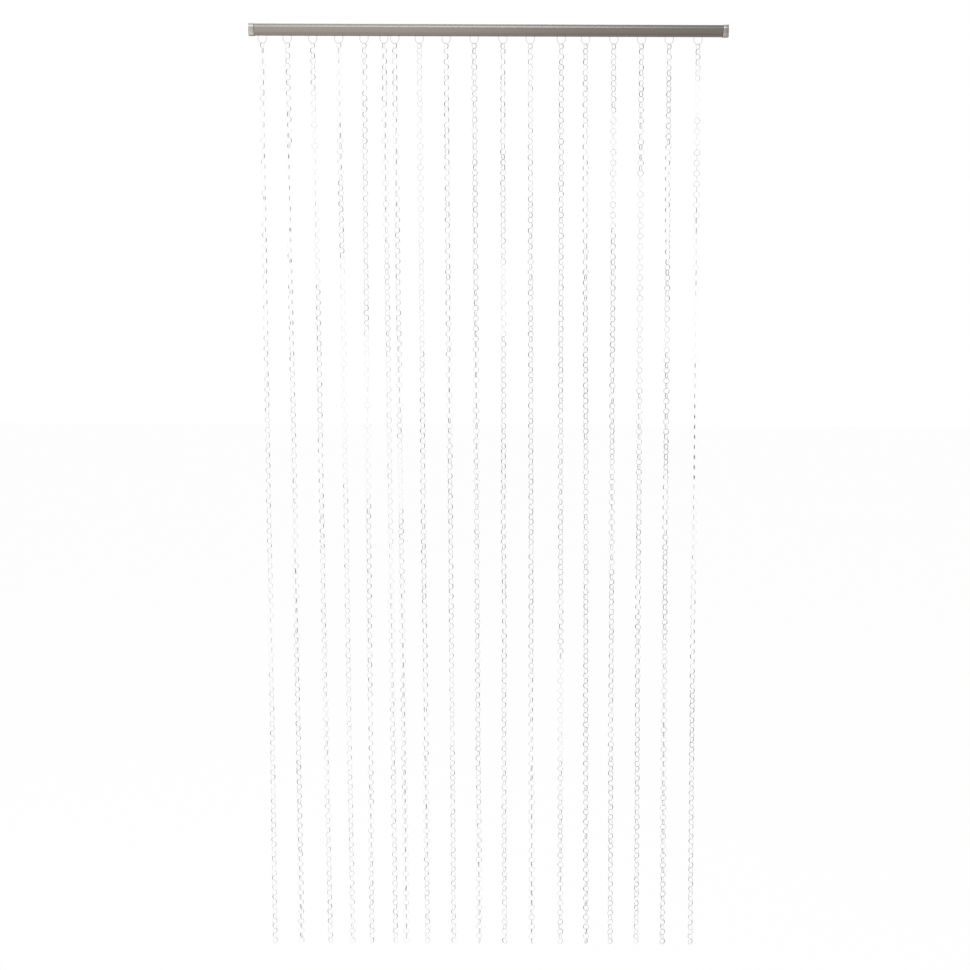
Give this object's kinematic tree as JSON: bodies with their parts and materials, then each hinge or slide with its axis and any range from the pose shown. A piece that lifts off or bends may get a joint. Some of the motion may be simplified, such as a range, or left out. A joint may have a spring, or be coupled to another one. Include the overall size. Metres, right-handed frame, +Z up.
{
  "type": "bead curtain",
  "caption": "Doorway curtain: a slim aluminium head rail with clear plastic ring chains hanging from gliders that slide in its track.",
  "frame": {"origin": "middle of the rail's flat top face, where it meets the lintel", "axes": "+X along the rail to the viewer's right, +Y to the flat back of the rail, +Z up; the strands hang along -Z"},
  "size_m": [1, 0.0189, 1.9944],
  "materials": {
    "rail": "satin",
    "caps": "moulded, light grey",
    "gliders": "clear",
    "rings": "clear"
  },
  "bodies": {
    "rail": {"head_rail": "rail", "end_cap_left": "caps", "end_cap_right": "caps"},
    "glider_body_01": {"glider_01": "gliders"},
    "link_body_01": {"top_link_01": "rings"},
    "strand_body_01": {"strand_01": "rings"},
    "glider_body_02": {"glider_02": "gliders"},
    "link_body_02": {"top_link_02": "rings"},
    "strand_body_02": {"strand_02": "rings"},
    "glider_body_03": {"glider_03": "gliders"},
    "link_body_03": {"top_link_03": "rings"},
    "strand_body_03": {"strand_03": "rings"},
    "glider_body_04": {"glider_04": "gliders"},
    "link_body_04": {"top_link_04": "rings"},
    "strand_body_04": {"strand_04": "rings"},
    "glider_body_05": {"glider_05": "gliders"},
    "link_body_05": {"top_link_05": "rings"},
    "strand_body_05": {"strand_05": "rings"},
    "glider_body_06": {"glider_06": "gliders"},
    "link_body_06": {"top_link_06": "rings"},
    "strand_body_06": {"strand_06": "rings"},
    "glider_body_07": {"glider_07": "gliders"},
    "link_body_07": {"top_link_07": "rings"},
    "strand_body_07": {"strand_07": "rings"},
    "glider_body_08": {"glider_08": "gliders"},
    "link_body_08": {"top_link_08": "rings"},
    "strand_body_08": {"strand_08": "rings"},
    "glider_body_09": {"glider_09": "gliders"},
    "link_body_09": {"top_link_09": "rings"},
    "strand_body_09": {"strand_09": "rings"},
    "glider_body_10": {"glider_10": "gliders"},
    "link_body_10": {"top_link_10": "rings"},
    "strand_body_10": {"strand_10": "rings"},
    "glider_body_11": {"glider_11": "gliders"},
    "link_body_11": {"top_link_11": "rings"},
    "strand_body_11": {"strand_11": "rings"},
    "glider_body_12": {"glider_12": "gliders"},
    "link_body_12": {"top_link_12": "rings"},
    "strand_body_12": {"strand_12": "rings"},
    "glider_body_13": {"glider_13": "gliders"},
    "link_body_13": {"top_link_13": "rings"},
    "strand_body_13": {"strand_13": "rings"},
    "glider_body_14": {"glider_14": "gliders"},
    "link_body_14": {"top_link_14": "rings"},
    "strand_body_14": {"strand_14": "rings"},
    "glider_body_15": {"glider_15": "gliders"},
    "link_body_15": {"top_link_15": "rings"},
    "strand_body_15": {"strand_15": "rings"},
    "glider_body_16": {"glider_16": "gliders"},
    "link_body_16": {"top_link_16": "rings"},
    "strand_body_16": {"strand_16": "rings"},
    "glider_body_17": {"glider_17": "gliders"},
    "link_body_17": {"top_link_17": "rings"},
    "strand_body_17": {"strand_17": "rings"},
    "glider_body_18": {"glider_18": "gliders"},
    "link_body_18": {"top_link_18": "rings"},
    "strand_body_18": {"strand_18": "rings"}
  },
  "joints": [
    {"name": "glide_01", "type": "slide", "parent": "rail", "child": "glider_body_01", "axis": [1, 0, 0], "range_m": [-0.0156, 0.0307]},
    {"name": "swing_01", "type": "hinge", "parent": "glider_body_01", "child": "link_body_01", "pos_m": [-0.472, 0, -0.0398], "axis": [1, 0, 0], "range_deg": [-75, 75]},
    {"name": "sway_01", "type": "hinge", "parent": "link_body_01", "child": "strand_body_01", "pos_m": [-0.472, 0, -0.0497], "axis": [0, 1, 0], "range_deg": [-12, 12]},
    {"name": "glide_02", "type": "slide", "parent": "rail", "child": "glider_body_02", "axis": [1, 0, 0], "range_m": [-0.0307, 0.0318]},
    {"name": "swing_02", "type": "hinge", "parent": "glider_body_02", "child": "link_body_02", "pos_m": [-0.4199, 0, -0.0398], "axis": [1, 0, 0], "range_deg": [-75, 75]},
    {"name": "sway_02", "type": "hinge", "parent": "link_body_02", "child": "strand_body_02", "pos_m": [-0.4199, 0, -0.0497], "axis": [0, 1, 0], "range_deg": [-12, 12]},
    {"name": "glide_03", "type": "slide", "parent": "rail", "child": "glider_body_03", "axis": [1, 0, 0], "range_m": [-0.0318, 0.0329]},
    {"name": "swing_03", "type": "hinge", "parent": "glider_body_03", "child": "link_body_03", "pos_m": [-0.3667, 0, -0.0398], "axis": [1, 0, 0], "range_deg": [-75, 75]},
    {"name": "sway_03", "type": "hinge", "parent": "link_body_03", "child": "strand_body_03", "pos_m": [-0.3667, 0, -0.0497], "axis": [0, 1, 0], "range_deg": [-12, 12]},
    {"name": "glide_04", "type": "slide", "parent": "rail", "child": "glider_body_04", "axis": [1, 0, 0], "range_m": [-0.0329, 0.0277]},
    {"name": "swing_04", "type": "hinge", "parent": "glider_body_04", "child": "link_body_04", "pos_m": [-0.3125, 0, -0.0398], "axis": [1, 0, 0], "range_deg": [-75, 75]},
    {"name": "sway_04", "type": "hinge", "parent": "link_body_04", "child": "strand_body_04", "pos_m": [-0.3125, 0, -0.0497], "axis": [0, 1, 0], "range_deg": [-12, 12]},
    {"name": "glide_05", "type": "slide", "parent": "rail", "child": "glider_body_05", "axis": [1, 0, 0], "range_m": [-0.0277, 0.0202]},
    {"name": "swing_05", "type": "hinge", "parent": "glider_body_05", "child": "link_body_05", "pos_m": [-0.2598, 0, -0.0398], "axis": [1, 0, 0], "range_deg": [-75, 75]},
    {"name": "sway_05", "type": "hinge", "parent": "link_body_05", "child": "strand_body_05", "pos_m": [-0.2598, 0, -0.0497], "axis": [0, 1, 0], "range_deg": [-12, 12]},
    {"name": "glide_06", "type": "slide", "parent": "rail", "child": "glider_body_06", "axis": [1, 0, 0], "range_m": [-0.0202, 0.0013]},
    {"name": "swing_06", "type": "hinge", "parent": "glider_body_06", "child": "link_body_06", "pos_m": [-0.2183, 0, -0.0398], "axis": [1, 0, 0], "range_deg": [-75, 75]},
    {"name": "sway_06", "type": "hinge", "parent": "link_body_06", "child": "strand_body_06", "pos_m": [-0.2183, 0, -0.0497], "axis": [0, 1, 0], "range_deg": [-12, 12]},
    {"name": "glide_07", "type": "slide", "parent": "rail", "child": "glider_body_07", "axis": [1, 0, 0], "range_m": [-0.0013, 0.03]},
    {"name": "swing_07", "type": "hinge", "parent": "glider_body_07", "child": "link_body_07", "pos_m": [-0.1956, 0, -0.0398], "axis": [1, 0, 0], "range_deg": [-75, 75]},
    {"name": "sway_07", "type": "hinge", "parent": "link_body_07", "child": "strand_body_07", "pos_m": [-0.1956, 0, -0.0497], "axis": [0, 1, 0], "range_deg": [-12, 12]},
    {"name": "glide_08", "type": "slide", "parent": "rail", "child": "glider_body_08", "axis": [1, 0, 0], "range_m": [-0.03, 0.0346]},
    {"name": "swing_08", "type": "hinge", "parent": "glider_body_08", "child": "link_body_08", "pos_m": [-0.1443, 0, -0.0398], "axis": [1, 0, 0], "range_deg": [-75, 75]},
    {"name": "sway_08", "type": "hinge", "parent": "link_body_08", "child": "strand_body_08", "pos_m": [-0.1443, 0, -0.0497], "axis": [0, 1, 0], "range_deg": [-12, 12]},
    {"name": "glide_09", "type": "slide", "parent": "rail", "child": "glider_body_09", "axis": [1, 0, 0], "range_m": [-0.0346, 0.0369]},
    {"name": "swing_09", "type": "hinge", "parent": "glider_body_09", "child": "link_body_09", "pos_m": [-0.0883, 0, -0.0398], "axis": [1, 0, 0], "range_deg": [-75, 75]},
    {"name": "sway_09", "type": "hinge", "parent": "link_body_09", "child": "strand_body_09", "pos_m": [-0.0883, 0, -0.0497], "axis": [0, 1, 0], "range_deg": [-12, 12]},
    {"name": "glide_10", "type": "slide", "parent": "rail", "child": "glider_body_10", "axis": [1, 0, 0], "range_m": [-0.0369, 0.0386]},
    {"name": "swing_10", "type": "hinge", "parent": "glider_body_10", "child": "link_body_10", "pos_m": [-0.03, 0, -0.0398], "axis": [1, 0, 0], "range_deg": [-75, 75]},
    {"name": "sway_10", "type": "hinge", "parent": "link_body_10", "child": "strand_body_10", "pos_m": [-0.03, 0, -0.0497], "axis": [0, 1, 0], "range_deg": [-12, 12]},
    {"name": "glide_11", "type": "slide", "parent": "rail", "child": "glider_body_11", "axis": [1, 0, 0], "range_m": [-0.0386, 0.036]},
    {"name": "swing_11", "type": "hinge", "parent": "glider_body_11", "child": "link_body_11", "pos_m": [0.0299, 0, -0.0398], "axis": [1, 0, 0], "range_deg": [-75, 75]},
    {"name": "sway_11", "type": "hinge", "parent": "link_body_11", "child": "strand_body_11", "pos_m": [0.0299, 0, -0.0497], "axis": [0, 1, 0], "range_deg": [-12, 12]},
    {"name": "glide_12", "type": "slide", "parent": "rail", "child": "glider_body_12", "axis": [1, 0, 0], "range_m": [-0.036, 0.0431]},
    {"name": "swing_12", "type": "hinge", "parent": "glider_body_12", "child": "link_body_12", "pos_m": [0.0872, 0, -0.0398], "axis": [1, 0, 0], "range_deg": [-75, 75]},
    {"name": "sway_12", "type": "hinge", "parent": "link_body_12", "child": "strand_body_12", "pos_m": [0.0872, 0, -0.0497], "axis": [0, 1, 0], "range_deg": [-12, 12]},
    {"name": "glide_13", "type": "slide", "parent": "rail", "child": "glider_body_13", "axis": [1, 0, 0], "range_m": [-0.0431, 0.0296]},
    {"name": "swing_13", "type": "hinge", "parent": "glider_body_13", "child": "link_body_13", "pos_m": [0.1517, 0, -0.0398], "axis": [1, 0, 0], "range_deg": [-75, 75]},
    {"name": "sway_13", "type": "hinge", "parent": "link_body_13", "child": "strand_body_13", "pos_m": [0.1517, 0, -0.0497], "axis": [0, 1, 0], "range_deg": [-12, 12]},
    {"name": "glide_14", "type": "slide", "parent": "rail", "child": "glider_body_14", "axis": [1, 0, 0], "range_m": [-0.0296, 0.0375]},
    {"name": "swing_14", "type": "hinge", "parent": "glider_body_14", "child": "link_body_14", "pos_m": [0.2026, 0, -0.0398], "axis": [1, 0, 0], "range_deg": [-75, 75]},
    {"name": "sway_14", "type": "hinge", "parent": "link_body_14", "child": "strand_body_14", "pos_m": [0.2026, 0, -0.0497], "axis": [0, 1, 0], "range_deg": [-12, 12]},
    {"name": "glide_15", "type": "slide", "parent": "rail", "child": "glider_body_15", "axis": [1, 0, 0], "range_m": [-0.0375, 0.0364]},
    {"name": "swing_15", "type": "hinge", "parent": "glider_body_15", "child": "link_body_15", "pos_m": [0.2615, 0, -0.0398], "axis": [1, 0, 0], "range_deg": [-75, 75]},
    {"name": "sway_15", "type": "hinge", "parent": "link_body_15", "child": "strand_body_15", "pos_m": [0.2615, 0, -0.0497], "axis": [0, 1, 0], "range_deg": [-12, 12]},
    {"name": "glide_16", "type": "slide", "parent": "rail", "child": "glider_body_16", "axis": [1, 0, 0], "range_m": [-0.0364, 0.0364]},
    {"name": "swing_16", "type": "hinge", "parent": "glider_body_16", "child": "link_body_16", "pos_m": [0.3192, 0, -0.0398], "axis": [1, 0, 0], "range_deg": [-75, 75]},
    {"name": "sway_16", "type": "hinge", "parent": "link_body_16", "child": "strand_body_16", "pos_m": [0.3192, 0, -0.0497], "axis": [0, 1, 0], "range_deg": [-12, 12]},
    {"name": "glide_17", "type": "slide", "parent": "rail", "child": "glider_body_17", "axis": [1, 0, 0], "range_m": [-0.0364, 0.0388]},
    {"name": "swing_17", "type": "hinge", "parent": "glider_body_17", "child": "link_body_17", "pos_m": [0.377, 0, -0.0398], "axis": [1, 0, 0], "range_deg": [-75, 75]},
    {"name": "sway_17", "type": "hinge", "parent": "link_body_17", "child": "strand_body_17", "pos_m": [0.377, 0, -0.0497], "axis": [0, 1, 0], "range_deg": [-12, 12]},
    {"name": "glide_18", "type": "slide", "parent": "rail", "child": "glider_body_18", "axis": [1, 0, 0], "range_m": [-0.0388, 0.0504]},
    {"name": "swing_18", "type": "hinge", "parent": "glider_body_18", "child": "link_body_18", "pos_m": [0.4371, 0, -0.0398], "axis": [1, 0, 0], "range_deg": [-75, 75]},
    {"name": "sway_18", "type": "hinge", "parent": "link_body_18", "child": "strand_body_18", "pos_m": [0.4371, 0, -0.0497], "axis": [0, 1, 0], "range_deg": [-12, 12]}
  ],
  "couplings": [
    {"joint": "sway_02", "follows": "sway_01", "ratio": 1},
    {"joint": "sway_03", "follows": "sway_01", "ratio": 1},
    {"joint": "sway_04", "follows": "sway_01", "ratio": 1},
    {"joint": "sway_05", "follows": "sway_01", "ratio": 1},
    {"joint": "sway_06", "follows": "sway_01", "ratio": 1},
    {"joint": "sway_07", "follows": "sway_01", "ratio": 1},
    {"joint": "sway_08", "follows": "sway_01", "ratio": 1},
    {"joint": "sway_09", "follows": "sway_01", "ratio": 1},
    {"joint": "sway_10", "follows": "sway_01", "ratio": 1},
    {"joint": "sway_11", "follows": "sway_01", "ratio": 1},
    {"joint": "sway_12", "follows": "sway_01", "ratio": 1},
    {"joint": "sway_13", "follows": "sway_01", "ratio": 1},
    {"joint": "sway_14", "follows": "sway_01", "ratio": 1},
    {"joint": "sway_15", "follows": "sway_01", "ratio": 1},
    {"joint": "sway_16", "follows": "sway_01", "ratio": 1},
    {"joint": "sway_17", "follows": "sway_01", "ratio": 1},
    {"joint": "sway_18", "follows": "sway_01", "ratio": 1}
  ]
}
